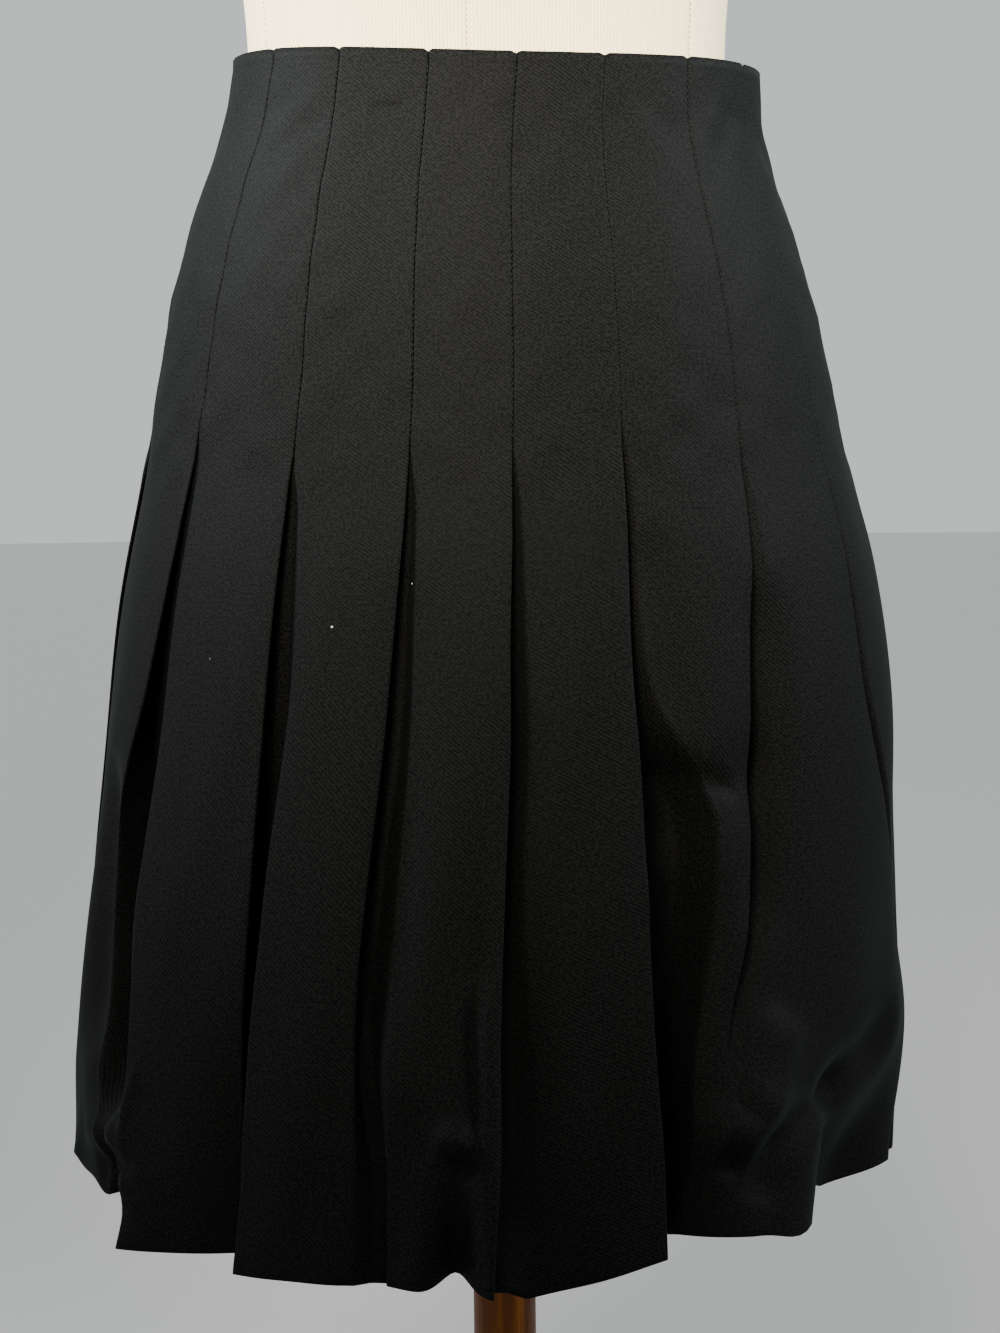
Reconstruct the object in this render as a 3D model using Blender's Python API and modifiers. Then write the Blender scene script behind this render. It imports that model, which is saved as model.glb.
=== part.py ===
"""Pleated skater skirt resting on a limbless dress form: sixteen knife pleats, stitched flat from the
waist to the hip and free below. Metres, +Z up, the front looks along -Y, the origin is under the base."""

import math

import bmesh
import bpy
import numpy as np

MM = 0.001

# Driving sizes, in millimetres
WAIST_HEIGHT = 1030.0
WAIST_TILT = 0.035  # how far the waist edge drops for each millimetre to the right
WAIST_DIP = 6.5  # how far it dips at the front's centre
TILT_FADE = 190.0  # the tilt and the dip have died out this far down
HEM_DROP = 570.0
WALL = 1.0
LAYER_PITCH = 1.4  # from one layer of cloth to the next inside a fold
PLEATS = 16
FIRST_SEAM = -0.2349  # arc share of the first fold edge, from the front's centre
STITCHED_LAP = 31.0
HIP_LAP = 28.0
PANEL_PARTS = (0.0, 0.2, 0.5, 0.8, 1.0)  # where a panel's points lie across it
FINE_PARTS = {  # closer ones, for the two panels with the strongest folds at the hem
    4: (0.0, 0.25, 0.55, 0.74, 0.82, 0.9, 1.0),
    7: (0.0, 0.1, 0.2, 0.3, 0.38, 0.46, 0.54, 0.62, 0.7, 0.8, 0.9, 1.0),
}
CROWN = 0.08  # how far a panel swells at the hem, as a share of its width

# The skirt's outer line at each drop below the waist edge
SKIRT_SECTIONS = (
    # drop, half width, half depth, shift to the right
    (0.0, 134.5, 103.0, 3.5),
    (30.0, 138.5, 108.0, 1.5),
    (70.0, 151.5, 118.0, 0.0),
    (110.0, 163.5, 128.0, 0.0),
    (150.0, 172.0, 135.0, 0.5),
    (185.0, 178.5, 141.0, 0.5),
    (250.0, 193.5, 155.0, 2.0),
    (320.0, 203.0, 167.0, 1.5),
    (390.0, 208.0, 177.0, -2.5),
    (460.0, 211.5, 185.0, -6.0),
    (520.0, 214.5, 190.0, -6.5),
    (575.0, 216.0, 192.0, -8.5),
)

# Where the rows of the wall lie, as drops on a skirt of the full length
WALL_ROWS = (-4, 25, 55, 90, 125, 160, 190, 225, 270, 315, 360, 405, 450, 485, 510, 532, 552, 570)

# How far each fold edge swings to the right of its even place
SWING_DROPS = (0.0, 180.0, 300.0, 400.0, 480.0, 570.0)
FOLD_SWING = (
    # waist, hip, thigh, low, deep, hem
    (6.0, 9.0, 6.0, 2.0, 0.0, 0.0),
    (9.0, 13.0, 4.0, -22.0, -28.0, -32.0),
    (4.0, 13.0, 12.0, 14.0, 12.0, 11.0),
    (3.0, 8.0, 2.0, -2.0, -5.0, -3.0),
    (-2.0, -7.0, -13.0, -13.0, -13.0, -16.0),
    (-6.0, -18.0, -27.0, -22.0, -19.0, -15.0),
    (-7.0, -18.0, -36.0, -44.0, -62.0, -80.0),
    (-10.0, -20.0, -27.0, 8.0, 30.0, 34.0),
    (-8.0, -12.0, -6.0, 6.0, 14.0, 16.0),
    (-4.0, -8.0, 2.0, 8.0, 4.0, -6.0),
    (0.0, -6.0, -12.0, -4.0, 6.0, 10.0),
    (3.0, 4.0, -8.0, -14.0, -10.0, -4.0),
    (5.0, 8.0, 10.0, 2.0, -8.0, -14.0),
    (4.0, 6.0, -4.0, -16.0, -18.0, -10.0),
    (2.0, 3.0, 8.0, 12.0, 8.0, 6.0),
    (4.0, 6.0, -2.0, -12.0, -16.0, -20.0),
)

# How wide the shadowed underlay shows to the right of each fold edge
OPENING_DROPS = (180.0, 300.0, 400.0, 480.0, 570.0)
FOLD_MOUTH = (
    # hip, thigh, low, deep, hem
    (2.0, 8.0, 14.0, 16.0, 14.0),
    (2.0, 12.0, 40.0, 48.0, 56.0),
    (2.0, 13.0, 8.0, 8.0, 5.0),
    (2.0, 11.0, 14.0, 18.0, 18.0),
    (2.0, 8.0, 9.0, 16.0, 16.0),
    (2.0, 6.0, 36.0, 22.0, 10.0),
    (2.0, 14.0, 18.0, 18.0, 16.0),
    (2.0, 10.0, 16.0, 18.0, 18.0),
    (2.0, 10.0, 14.0, 16.0, 14.0),
    (2.0, 12.0, 10.0, 12.0, 16.0),
    (2.0, 8.0, 14.0, 18.0, 12.0),
    (2.0, 12.0, 20.0, 26.0, 20.0),
    (2.0, 10.0, 12.0, 14.0, 18.0),
    (2.0, 8.0, 18.0, 26.0, 24.0),
    (2.0, 12.0, 14.0, 12.0, 16.0),
    (2.0, 10.0, 18.0, 22.0, 24.0),
)

# How deep the cloth lies below each fold edge
FOLD_DEPTH = (
    # hip, thigh, low, deep, hem
    (0.0, 6.0, 13.0, 18.0, 20.0),
    (0.0, 11.0, 26.0, 34.0, 36.0),
    (0.0, 10.0, 16.0, 16.0, 10.0),
    (0.0, 8.0, 12.0, 11.0, 5.0),
    (0.0, 6.0, 8.0, 10.0, 8.0),
    (0.0, 5.0, 16.0, 30.0, 38.0),
    (0.0, 8.0, 13.0, 8.0, 1.0),
    (0.0, 7.0, 14.0, 20.0, 22.0),
    (0.0, 6.0, 13.0, 18.0, 20.0),
    (0.0, 9.0, 12.0, 14.0, 16.0),
    (0.0, 7.0, 14.0, 22.0, 26.0),
    (0.0, 9.0, 16.0, 14.0, 6.0),
    (0.0, 8.0, 12.0, 18.0, 22.0),
    (0.0, 7.0, 18.0, 26.0, 28.0),
    (0.0, 9.0, 12.0, 10.0, 6.0),
    (0.0, 8.0, 16.0, 22.0, 26.0),
)

# What each fold does at the hem, and where its hidden cloth turns up to the next panel
FOLD_HEM = (
    # lap under the edge, edge stands out, next panel stands out, knee's share of the mouth,
    # drop at the edge, drop at the next panel
    (14.0, 0.0, 0.0, 0.35, 555.0, 556.0),
    (3.0, -12.0, 5.0, 0.30, 553.0, 572.0),
    (14.0, -20.0, 4.0, 0.35, 568.0, 572.0),
    (-8.0, 0.0, -2.0, 0.35, 570.0, 570.0),
    (3.0, 8.0, -3.0, 0.35, 573.0, 577.0),
    (14.0, 4.0, -14.0, 0.75, 561.0, 553.0),
    (-8.0, 0.0, 0.0, 0.35, 557.0, 559.0),
    (14.0, 0.0, 0.0, 0.35, 558.0, 558.0),
    (14.0, 0.0, 0.0, 0.35, 560.0, 560.0),
    (8.0, 2.0, -4.0, 0.40, 566.0, 568.0),
    (12.0, 3.0, -8.0, 0.60, 570.0, 566.0),
    (-8.0, 0.0, 0.0, 0.35, 568.0, 568.0),
    (12.0, 4.0, -6.0, 0.50, 571.0, 567.0),
    (10.0, -6.0, 3.0, 0.35, 562.0, 568.0),
    (-6.0, 0.0, 0.0, 0.35, 568.0, 566.0),
    (12.0, 2.0, -6.0, 0.60, 560.0, 554.0),
)

# Soft hollows (depth above nought) and swellings (below nought) in the free cloth
RELIEFS = (
    # arc share, drop, half width, half height, slant, depth, lift
    (-0.167, 512.0, 22.0, 26.0, 0.30, -9.0, 0.0),
    (-0.160, 556.0, 13.0, 14.0, 0.00, 6.0, 0.0),
    (-0.240, 520.0, 60.0, 70.0, 0.00, -3.0, 0.0),
    (-0.228, 565.0, 10.0, 30.0, 0.00, -3.0, 6.0),
    (-0.192, 565.0, 11.0, 30.0, 0.00, 0.0, -8.0),
    (-0.0110, 580.0, 9.0, 50.0, 0.00, 18.0, 6.0),
    (-0.003, 460.0, 7.0, 70.0, -0.05, 3.0, 0.0),
    (0.105, 345.0, 22.0, 18.0, 0.20, 4.0, 0.0),
    (0.100, 485.0, 26.0, 40.0, -0.10, -11.0, 0.0),
    (0.131, 505.0, 13.0, 48.0, -0.70, 13.0, 0.0),
    (0.159, 600.0, 19.0, 66.0, 0.00, 48.0, 3.0),
    (0.126, 590.0, 17.0, 36.0, 0.00, 0.0, -12.0),
    (0.178, 585.0, 9.0, 36.0, 0.00, 0.0, 8.0),
    (0.205, 505.0, 26.0, 40.0, 0.00, -5.0, 0.0),
    (0.250, 485.0, 50.0, 60.0, 0.00, -3.0, 0.0),
    (0.330, 560.0, 18.0, 70.0, 0.10, 9.0, 2.0),
    (0.400, 480.0, 24.0, 90.0, 0.00, -6.0, 0.0),
    (0.455, 575.0, 14.0, 60.0, -0.20, 10.0, 3.0),
    (-0.440, 350.0, 24.0, 22.0, -0.20, 4.0, 0.0),
    (-0.395, 565.0, 14.0, 70.0, 0.10, 10.0, 2.0),
    (-0.330, 490.0, 24.0, 80.0, 0.00, -6.0, 0.0),
)

# Concealed zip behind the right-hand side seam
ZIP_LENGTH = 170.0
ZIP_WIDTH = 24.0
ZIP_THICKNESS = 1.2
ZIP_INSET = 8.4  # from the skirt's outer line to the tape's middle
ZIP_TOP = 4.0

# Dress form: smooth limbless torso, heights from the skirt's waist edge
FORM_SECTIONS = (
    # height, half width, half depth, shift forward
    (480.0, 0.0, 0.0, 0.0),
    (479.0, 44.0, 44.0, 0.0),
    (470.0, 52.0, 52.0, 0.0),
    (440.0, 53.0, 54.0, 0.0),
    (415.0, 60.0, 58.0, 0.0),
    (398.0, 80.0, 62.0, -2.0),
    (380.0, 112.0, 70.0, -3.0),
    (355.0, 143.0, 80.0, -3.0),
    (320.0, 155.0, 91.0, 0.0),
    (270.0, 155.0, 105.0, 5.0),
    (225.0, 154.0, 116.0, 9.0),
    (185.0, 151.0, 119.0, 10.0),
    (140.0, 143.0, 112.0, 7.0),
    (90.0, 131.0, 101.0, 3.0),
    (40.0, 123.5, 94.0, 1.0),
    (0.0, 121.5, 91.5, 0.0),
    (-30.0, 126.5, 96.5, 0.0),
    (-70.0, 142.0, 108.0, 0.0),
    (-110.0, 154.0, 118.0, 0.0),
    (-150.0, 162.0, 125.0, 0.0),
    (-190.0, 168.0, 130.0, 0.0),
    (-240.0, 170.0, 132.0, 0.0),
    (-290.0, 165.0, 129.0, 0.0),
    (-320.0, 158.0, 124.0, 0.0),
    (-335.0, 145.0, 113.0, 0.0),
    (-340.0, 120.0, 92.0, 0.0),
    (-340.0, 0.0, 0.0, 0.0),
)
FORM_SHIFT = -1.5
FORM_SIDES = 40

POST_RADIUS = 16.5
POST_SIDES = 32
BASE_RADIUS = 230.0
BASE_HEIGHT = 26.0
BASE_ROUNDING = 8.0
BASE_SIDES = 96
GAP = 0.4

# How the free cloth turns inside a fold
RELEASE_DROP = 180.0  # the stitching ends here and the panels begin to swell
MELT_DROP = 300.0  # from here down the laps change to those at the hem
LAP_DROPS = (0.0, 190.0, 300.0)
SOFT_LAP = 6.0  # a fold with less lap than this turns as a soft bend
SOFT_RANGE = 12.0  # and is quite soft with this much less
SOFT_INNER = 4.0  # how far a soft bend spreads at its inner fold
SOFT_EDGE = 3.0  # and at its edge
KNEE_RISE = 0.15  # share of the climb to the next panel that is done at the knee
SOFT_KNEE_RISE = 0.35  # what a soft bend adds to it
ZIP_PARTS = (-0.5, -0.25, 0.0, 0.25, 0.5)  # where the tape's points lie across it
ZIP_ROWS = 9
SHARP_ANGLE = math.radians(40)
ROUNDED_ANGLE = math.radians(60)

CLOTH_COLOUR = (0.013, 0.013, 0.012, 1.0)
TAPE_COLOUR = (0.010, 0.010, 0.011, 1.0)
LINEN_COLOUR = (0.63, 0.57, 0.49, 1.0)
WOOD_COLOUR = (0.13, 0.055, 0.018, 1.0)


def smooth(value, places, heights):
    """A curve through a table's column, with no overshoot between its rows."""
    x = np.asarray(places, float)
    y = np.asarray(heights, float)
    slope = np.diff(y) / np.diff(x)
    lean = np.concatenate([[slope[0]], (slope[:-1] + slope[1:]) / 2, [slope[-1]]])
    turn = np.concatenate([[False], slope[:-1] * slope[1:] <= 0, [False]])
    lean[turn] = 0.0
    value = np.clip(value, x[0], x[-1])
    row = np.clip(np.searchsorted(x, value) - 1, 0, len(x) - 2)
    span = x[row + 1] - x[row]
    t = (value - x[row]) / span
    start = (1 + 2 * t) * (1 - t) ** 2 * y[row] + t * (1 - t) ** 2 * span * lean[row]
    end = t * t * (3 - 2 * t) * y[row + 1] + t * t * (t - 1) * span * lean[row + 1]
    return start + end


def column(table, index):
    return [row[index] for row in table]


def ellipse_at(drop):
    drops = column(SKIRT_SECTIONS, 0)
    return [float(smooth(drop, drops, column(SKIRT_SECTIONS, index))) for index in (1, 2, 3)]


RING_ANGLES = np.linspace(-2 * math.pi, 2 * math.pi, 1441)


def ring_at(drop):
    """The outer line at one drop: its sizes, the arc length at each angle, and the length all round."""
    wide, deep, shift = ellipse_at(drop)
    x = wide * np.sin(RING_ANGLES)
    y = -deep * np.cos(RING_ANGLES)
    arc = np.concatenate([[0.0], np.cumsum(np.hypot(np.diff(x), np.diff(y)))])
    front = arc[len(arc) // 2]
    return wide, deep, shift, arc - front, front


def relief_at(share, drop, around):
    """How far the hollows and swellings push the cloth in and up at one place."""
    pushed = 0.0
    lifted = 0.0
    for place, level, half_width, half_height, slant, depth, lift in RELIEFS:
        across = ((share - place + 0.5) % 1.0 - 0.5) * around - slant * (level - drop)
        strength = math.exp(-((across / half_width) ** 2) - ((drop - level) / half_height) ** 2)
        pushed += depth * strength
        lifted += lift * strength
    return pushed, lifted


def place_on_skirt(drop, arc, out):
    """The point that lies this far down, this far round from the front's centre and this far out."""
    wide, deep, shift, arcs, around = ring_at(drop)
    angle = float(np.interp(arc, arcs, RING_ANGLES))
    normal = np.array([math.sin(angle) / wide, -math.cos(angle) / deep])
    normal = normal / np.linalg.norm(normal)
    pushed, lifted = relief_at(arc / around, drop, around)
    out -= pushed
    x = shift + wide * math.sin(angle) + out * normal[0]
    y = -deep * math.cos(angle) + out * normal[1]
    dip = WAIST_DIP * max(0.0, math.cos(angle)) ** 3
    fade = max(0.0, 1 - drop / TILT_FADE)
    return (x * MM, y * MM, (WAIST_HEIGHT - drop + lifted - (WAIST_TILT * x + dip) * fade) * MM)


def fold_at(index, drop):
    """Where one fold lies at a drop: its edge, its inner fold and the start of the next panel."""
    turn, row = divmod(index, PLEATS)
    around = ring_at(drop)[4]
    lap_hem, edge_out, next_out = FOLD_HEM[row][:3]
    low = max(0.0, (drop - MELT_DROP) / (HEM_DROP - MELT_DROP))
    lap = float(np.interp(drop, LAP_DROPS, (STITCHED_LAP, HIP_LAP, HIP_LAP)))
    lap += (lap_hem - lap) * low
    edge = (FIRST_SEAM + row / PLEATS + turn) * around + float(smooth(drop, SWING_DROPS, FOLD_SWING[row]))
    mouth = float(smooth(drop, OPENING_DROPS, FOLD_MOUTH[row]))
    edge_out *= low**2
    below = edge_out - 2 * LAYER_PITCH - float(smooth(drop, OPENING_DROPS, FOLD_DEPTH[row]))
    return {
        "edge": edge,
        "edge_out": edge_out,
        "below": below,
        "inner": edge - lap,
        "inner_out": below - 2 * LAYER_PITCH * PLEATS / around * max(lap, 0.0),
        "start": edge + mouth,
        "start_out": next_out * low**2 - 2 * LAYER_PITCH * (1 - mouth * PLEATS / around),
        "softness": max(0.0, min(1.0, (SOFT_LAP - lap) / SOFT_RANGE)),
    }


def panel_line(before, after, share):
    """One pleat's cloth at one row, from the inner fold before its panel to the inner fold after it.

    Each point is a drop, an arc and a distance out. The panel climbs over its neighbour by two layers."""
    under_drop, start_drop = (drop * share for drop in FOLD_HEM[before % PLEATS][4:])
    edge_drop = FOLD_HEM[after % PLEATS][4] * share
    under = fold_at(before, under_drop)
    first = fold_at(before, start_drop)
    last = fold_at(after, edge_drop)
    inner = under["inner"] + SOFT_INNER * under["softness"]
    mouth = first["start"] - under["edge"]
    knee = max(under["edge"] + FOLD_HEM[before % PLEATS][3] * mouth, (inner + first["start"]) / 2)
    rise = (first["start_out"] - under["below"]) * (KNEE_RISE + SOFT_KNEE_RISE * under["softness"])
    points = [
        (under_drop, inner, under["inner_out"]),
        (under_drop, (inner + knee) / 2, (under["inner_out"] + under["below"]) / 2),
        (under_drop, knee, under["below"] + rise),
    ]
    width = last["edge"] - first["start"]
    crown = CROWN * width * max(0.0, edge_drop - RELEASE_DROP) / HEM_DROP
    for part in FINE_PARTS.get(after, PANEL_PARTS):
        out = first["start_out"] + (last["edge_out"] - first["start_out"]) * part
        arc = first["start"] + width * part
        points.append((start_drop + (edge_drop - start_drop) * part, arc, out + crown * part * (1 - part)))
    back = (last["edge"] + SOFT_EDGE * last["softness"], last["edge_out"] - LAYER_PITCH)
    end = (last["inner"] - SOFT_INNER * last["softness"], last["inner_out"] + LAYER_PITCH)
    middle = ((back[0] + end[0]) / 2, (back[1] + end[1]) / 2)
    return points + [(edge_drop, *place) for place in (back, middle, end)]


def skirt_line(first_pleat, last_pleat, row_drop):
    """All the points of one panel's row, from its left side seam to its right one."""
    share = row_drop / HEM_DROP
    points = []
    for pleat in range(first_pleat, last_pleat):
        points += panel_line(pleat, pleat + 1, share)
    return [place_on_skirt(*point) for point in points]


def grid_through(name, rows):
    """A grid whose points lie on the given rows, which run from the bottom up."""
    across = len(rows[0])
    mesh = bpy.data.meshes.new(name)
    bm = bmesh.new()
    bmesh.ops.create_grid(bm, x_segments=across - 1, y_segments=len(rows) - 1, size=1.0)
    for vert in bm.verts:
        step = round((vert.co.x + 1) / 2 * (across - 1))
        level = round((vert.co.y + 1) / 2 * (len(rows) - 1))
        vert.co = rows[level][step]
    bm.to_mesh(mesh)
    bm.free()
    return mesh


def add_object(name, mesh, collection, material):
    mesh.materials.append(material)
    item = bpy.data.objects.new(name, mesh)
    collection.objects.link(item)
    return item


def thicken(item, thickness):
    wall = item.modifiers.new("Wall", "SOLIDIFY")
    wall.thickness = thickness * MM
    wall.offset = 0.0


def make_material(name, colour, roughness):
    material = bpy.data.materials.new(name)
    material.use_nodes = True
    shader = material.node_tree.nodes["Principled BSDF"]
    shader.inputs["Base Color"].default_value = colour
    shader.inputs["Roughness"].default_value = roughness
    shader.inputs["Metallic"].default_value = 0.0
    return material


def make_skirt_half(name, first_pleat, collection, material):
    rows = [skirt_line(first_pleat, first_pleat + PLEATS // 2, drop) for drop in reversed(WALL_ROWS)]
    half = add_object(name, grid_through(name, rows), collection, material)
    thicken(half, WALL)
    half.data.shade_smooth()
    return half


def make_zip(collection, material):
    """The tape of the concealed zip, behind the side seam on the right."""
    rows = []
    for level in np.linspace(ZIP_LENGTH, ZIP_TOP, ZIP_ROWS):
        seam = fold_at(PLEATS // 2, float(level))["inner"]
        arcs = [seam + part * ZIP_WIDTH for part in ZIP_PARTS]
        rows.append([place_on_skirt(float(level), arc, -ZIP_INSET) for arc in arcs])
    tape = add_object("zip_tape", grid_through("zip_tape", rows), collection, material)
    thicken(tape, ZIP_THICKNESS)
    return tape


def make_form(collection, material):
    """The torso: a ball's rings, moved onto the form's sections."""
    rings = len(FORM_SECTIONS) - 1
    mesh = bpy.data.meshes.new("form_torso")
    bm = bmesh.new()
    bmesh.ops.create_uvsphere(bm, u_segments=FORM_SIDES, v_segments=rings, radius=1.0)
    for vert in bm.verts:
        ring = round(math.acos(max(-1.0, min(1.0, vert.co.z))) / math.pi * rings)
        height, wide, deep, forward = FORM_SECTIONS[ring]
        angle = math.atan2(vert.co.x, -vert.co.y)
        x = FORM_SHIFT + wide * math.sin(angle)
        y = -forward - deep * math.cos(angle)
        vert.co = (x * MM, y * MM, (WAIST_HEIGHT + height) * MM)
    bm.to_mesh(mesh)
    bm.free()
    mesh.shade_smooth()
    return add_object("form_torso", mesh, collection, material)


def make_round(name, radius, bottom, top, sides, collection, material):
    mesh = bpy.data.meshes.new(name)
    bm = bmesh.new()
    bmesh.ops.create_cone(
        bm,
        cap_ends=True,
        segments=sides,
        radius1=radius * MM,
        radius2=radius * MM,
        depth=(top - bottom) * MM,
    )
    bm.to_mesh(mesh)
    bm.free()
    item = add_object(name, mesh, collection, material)
    item.location = (0.0, 0.0, (top + bottom) / 2 * MM)
    return item


def main():
    for item in list(bpy.data.objects):
        bpy.data.objects.remove(item, do_unlink=True)
    collection = bpy.data.collections.new("pleated_skater_skirt")
    bpy.context.scene.collection.children.link(collection)
    cloth = make_material("black crepe", CLOTH_COLOUR, 0.75)
    tape = make_material("zip tape", TAPE_COLOUR, 0.80)
    linen = make_material("natural linen", LINEN_COLOUR, 0.90)
    post_wood = make_material("post wood", WOOD_COLOUR, 0.50)
    base_wood = make_material("base wood", WOOD_COLOUR, 0.50)
    make_skirt_half("skirt_front", 0, collection, cloth)
    make_skirt_half("skirt_back", PLEATS // 2, collection, cloth)
    make_zip(collection, tape)
    make_form(collection, linen)
    form_bottom = WAIST_HEIGHT + FORM_SECTIONS[-1][0]
    post = make_round(
        "stand_post", POST_RADIUS, BASE_HEIGHT + GAP, form_bottom - GAP, POST_SIDES, collection, post_wood
    )
    post.data.shade_smooth()
    post.data.set_sharp_from_angle(angle=SHARP_ANGLE)
    base = make_round("stand_base", BASE_RADIUS, 0.0, BASE_HEIGHT, BASE_SIDES, collection, base_wood)
    rounding = base.modifiers.new("Edge", "BEVEL")
    rounding.width = BASE_ROUNDING * MM
    rounding.segments = 3
    rounding.limit_method = "ANGLE"
    rounding.angle_limit = ROUNDED_ANGLE


main()
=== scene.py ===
"""Black pleated skater skirt on a limbless linen dress form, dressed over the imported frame.

Sizes are in millimetres until a mesh is made. The front looks along -Y, and the fold edge of every
pleat lies on its +X side as seen from the front."""

import math
import random

import bmesh
import bpy
import numpy as np
from mathutils import Matrix, Vector


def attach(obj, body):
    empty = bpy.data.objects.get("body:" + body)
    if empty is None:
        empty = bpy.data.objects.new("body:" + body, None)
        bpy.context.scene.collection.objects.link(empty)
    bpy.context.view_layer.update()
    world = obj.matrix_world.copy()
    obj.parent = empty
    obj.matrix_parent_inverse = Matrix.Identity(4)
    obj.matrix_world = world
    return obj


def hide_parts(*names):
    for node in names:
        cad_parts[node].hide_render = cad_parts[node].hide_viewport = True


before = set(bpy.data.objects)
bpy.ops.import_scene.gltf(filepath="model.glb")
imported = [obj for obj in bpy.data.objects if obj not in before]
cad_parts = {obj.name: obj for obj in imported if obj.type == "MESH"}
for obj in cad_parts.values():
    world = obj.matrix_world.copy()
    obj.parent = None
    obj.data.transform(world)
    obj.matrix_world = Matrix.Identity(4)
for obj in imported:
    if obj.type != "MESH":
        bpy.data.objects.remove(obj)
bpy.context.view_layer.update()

MM = 0.001

# ---------------------------------------------------------------- the skirt's own sizes
# A drop is a distance down from the waist edge. A share is a part of the way round, from the front's centre
# to the viewer's right, and a negative one lies to the left.
WAIST_HEIGHT = 1030.0  # the waist edge above the floor
WAIST_TILT = 0.035  # how far the waist edge drops for each millimetre to the right
WAIST_DIP = 6.5  # how far it dips at the front's centre
TILT_FADE = 190.0  # the tilt and the dip have died out this far down
HEM_DROP = 570.0
PLEATS = 16
HALF = PLEATS // 2
FIRST_SEAM = -0.235  # the share where the first fold's edge lies
STITCHED_LAP = 31.0  # how far a fold reaches under its edge at the waist
HIP_LAP = 28.0
CROWN = 0.08  # strength of a panel's swell, which grows from the end of the stitching to the hem
CLOTH = 0.45  # thickness of the crepe
PLY = 0.95  # from one layer to the next inside a stitched fold
HEM_PLY = 1.5  # what the turned hem adds to it
HEM_PLY_FROM = 500.0  # the drop where the turned hem begins to tell
HEM_PLY_LENGTH = 45.0
SEAM_GROOVE = 0.7  # how far the next panel starts from a stitched edge
SEAM_SINK = 0.3  # how deep both sides dip into the stitched seam
HEM_TURN = 24.0  # width of the hem that is turned up inside
HEM_ROLL = 0.32  # radius of the turned edge
ROLL_PARTS = (0.25, 0.5, 0.75)  # rows of the turned edge, as parts of its half turn
ROLL_CLOTH = 1.0  # cloth that the turned edge takes
PUCKER = 0.22  # strength of the swellings beside the stitching
PUCKER_START = 30.0  # they reach full strength this far down
PUCKER_FADE = 60.0  # and die out over this much below the stitching
NICK = 1.1  # how deep the waist edge dips at each seam
NICK_WIDTH = 1.4
NICK_LENGTH = 9.0

# The skirt's outer line
SKIRT_SECTIONS = (
    # drop, half width, half depth, shift to the right
    (0.0, 134.5, 103.0, 3.5),
    (30.0, 138.5, 108.0, 1.5),
    (70.0, 151.5, 118.0, 0.0),
    (110.0, 163.5, 128.0, 0.0),
    (150.0, 172.0, 135.0, 0.5),
    (185.0, 178.5, 141.0, 0.5),
    (250.0, 193.5, 155.0, 2.0),
    (320.0, 203.0, 167.0, 1.5),
    (390.0, 208.0, 177.0, -2.5),
    (460.0, 211.5, 185.0, -6.0),
    (520.0, 214.5, 190.0, -6.5),
    (575.0, 216.0, 192.0, -8.5),
)

# How far each fold's edge lies to the right of its even place, from the viewer's left round to the back
SWING_DROPS = (0.0, 180.0, 300.0, 400.0, 480.0, 570.0)
FOLD_SWING = (
    # waist, hip, thigh, low, deep, hem
    (6.0, 9.0, -4.0, -20.0, -26.0, -28.0),
    (9.0, 13.0, 2.0, -30.0, -36.0, -20.0),
    (4.0, 13.0, 12.0, 14.0, 12.0, 11.0),
    (3.0, 8.0, 2.0, -2.0, -5.0, -3.0),
    (-2.0, -7.0, -13.0, -13.0, -13.0, -16.0),
    (-6.0, -18.0, -27.0, -22.0, -19.0, -15.0),
    (-7.0, -18.0, -36.0, -43.0, -60.0, -46.0),
    (-10.0, -20.0, -27.0, 8.0, 30.0, 34.0),
    (-8.0, -12.0, -6.0, 6.0, 14.0, 16.0),
    (-4.0, -8.0, 2.0, 8.0, 4.0, -6.0),
    (0.0, -6.0, -12.0, -4.0, 6.0, 10.0),
    (3.0, 4.0, -8.0, -14.0, -10.0, -4.0),
    (5.0, 8.0, 10.0, 2.0, -8.0, -14.0),
    (4.0, 6.0, -4.0, -16.0, -18.0, -10.0),
    (2.0, 3.0, 8.0, 12.0, 8.0, 6.0),
    (4.0, 6.0, -2.0, -12.0, -16.0, -20.0),
)

# How wide each fold opens, from its edge to the start of the next panel
OPENING_DROPS = (180.0, 300.0, 400.0, 480.0, 570.0)
FOLD_MOUTH = (
    # hip, thigh, low, deep, hem
    (2.0, 2.5, 3.0, 4.0, 5.0),
    (2.0, 14.0, 48.0, 57.0, 44.0),
    (2.0, 13.0, 8.0, 8.0, 5.0),
    (2.0, 11.0, 14.0, 18.0, 18.0),
    (2.0, 8.0, 9.0, 16.0, 16.0),
    (4.5, 9.0, 36.0, 22.0, 10.0),
    (2.0, 14.0, 18.0, 9.0, 5.0),
    (2.0, 10.0, 16.0, 18.0, 18.0),
    (2.0, 10.0, 14.0, 16.0, 14.0),
    (2.0, 12.0, 10.0, 12.0, 16.0),
    (2.0, 8.0, 14.0, 18.0, 12.0),
    (2.0, 12.0, 20.0, 26.0, 20.0),
    (2.0, 10.0, 12.0, 14.0, 18.0),
    (2.0, 8.0, 18.0, 26.0, 24.0),
    (2.0, 12.0, 14.0, 12.0, 16.0),
    (2.0, 10.0, 18.0, 22.0, 24.0),
)
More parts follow.
